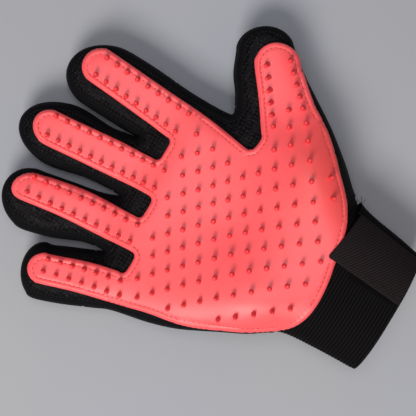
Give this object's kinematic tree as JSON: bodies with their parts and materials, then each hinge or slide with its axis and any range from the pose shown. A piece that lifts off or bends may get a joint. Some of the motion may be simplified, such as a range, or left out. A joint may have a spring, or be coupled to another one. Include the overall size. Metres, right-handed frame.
{
  "type": "pet grooming glove",
  "caption": "Right-hand pet grooming glove: fabric glove with a pinned silicone brush pad on palm, fingers and thumb, ribbed elastic cuff and hook-and-loop wrist strap.",
  "frame": {"origin": "centre of the footprint, on the surface the glove's back lies on", "axes": "+X towards the thumb, +Y towards the fingertips, +Z out of the palm through the brush pins"},
  "size_m": [0.1979, 0.2288, 0.0496],
  "materials": {
    "air_mesh": "matt open-weave black mesh",
    "stretch_knit": "smooth black stretch knit",
    "coral_silicone": "satin moulded silicone",
    "ribbed_elastic": "matt ribbed black elastic",
    "seam_tape": "matt woven tape",
    "loop_pile": "brushed loop pile",
    "plain_elastic": "matt plain black elastic",
    "twill_webbing": "twill-woven black webbing",
    "hook_nylon": "moulded nylon hooks"
  },
  "bodies": {
    "hand": {"hand_mesh_panel": "air_mesh", "hand_back_panel": "stretch_knit", "hand_brush_pad": "coral_silicone", "elastic_cuff": "ribbed_elastic", "wrist_seam_tape": "seam_tape", "loop_patch": "loop_pile", "strap_band": "plain_elastic"},
    "index": {"index_mesh_panel": "air_mesh", "index_back_panel": "stretch_knit", "index_brush_pad": "coral_silicone"},
    "middle": {"middle_mesh_panel": "air_mesh", "middle_back_panel": "stretch_knit", "middle_brush_pad": "coral_silicone"},
    "ring": {"ring_mesh_panel": "air_mesh", "ring_back_panel": "stretch_knit", "ring_brush_pad": "coral_silicone"},
    "little": {"little_mesh_panel": "air_mesh", "little_back_panel": "stretch_knit", "little_brush_pad": "coral_silicone"},
    "thumb": {"thumb_mesh_panel": "air_mesh", "thumb_back_panel": "stretch_knit", "thumb_brush_pad": "coral_silicone"},
    "strap": {"closure_tab": "twill_webbing", "hook_patch": "hook_nylon"}
  },
  "joints": [
    {"name": "index_flex", "type": "hinge", "parent": "hand", "child": "index", "pos_m": [0.02635, 0.0526, 0.02757], "axis": [0.9974, -0.0715, 0], "range_deg": [0, 60], "stiffness_Nm_per_rad": 0.01},
    {"name": "middle_flex", "type": "hinge", "parent": "hand", "child": "middle", "pos_m": [-0.00895, 0.0518, 0.02759], "axis": [0.9957, 0.0924, 0], "range_deg": [0, 60], "stiffness_Nm_per_rad": 0.01},
    {"name": "ring_flex", "type": "hinge", "parent": "hand", "child": "ring", "pos_m": [-0.04065, 0.0442, 0.0279], "axis": [0.9932, 0.1167, 0], "range_deg": [0, 60], "stiffness_Nm_per_rad": 0.01},
    {"name": "little_flex", "type": "hinge", "parent": "hand", "child": "little", "pos_m": [-0.07135, 0.0366, 0.02832], "axis": [0.95, 0.3123, 0], "range_deg": [0, 60], "stiffness_Nm_per_rad": 0.01},
    {"name": "thumb_flex", "type": "hinge", "parent": "hand", "child": "thumb", "pos_m": [0.06525, -0.0004, 0.03211], "axis": [0.682, -0.7314, 0], "range_deg": [0, 50], "stiffness_Nm_per_rad": 0.01},
    {"name": "strap_peel", "type": "hinge", "parent": "hand", "child": "strap", "pos_m": [0.03096, -0.0924, 0.03703], "axis": [0.1197, 0.9903, 0.0709], "range_deg": [0, 130]}
  ]
}
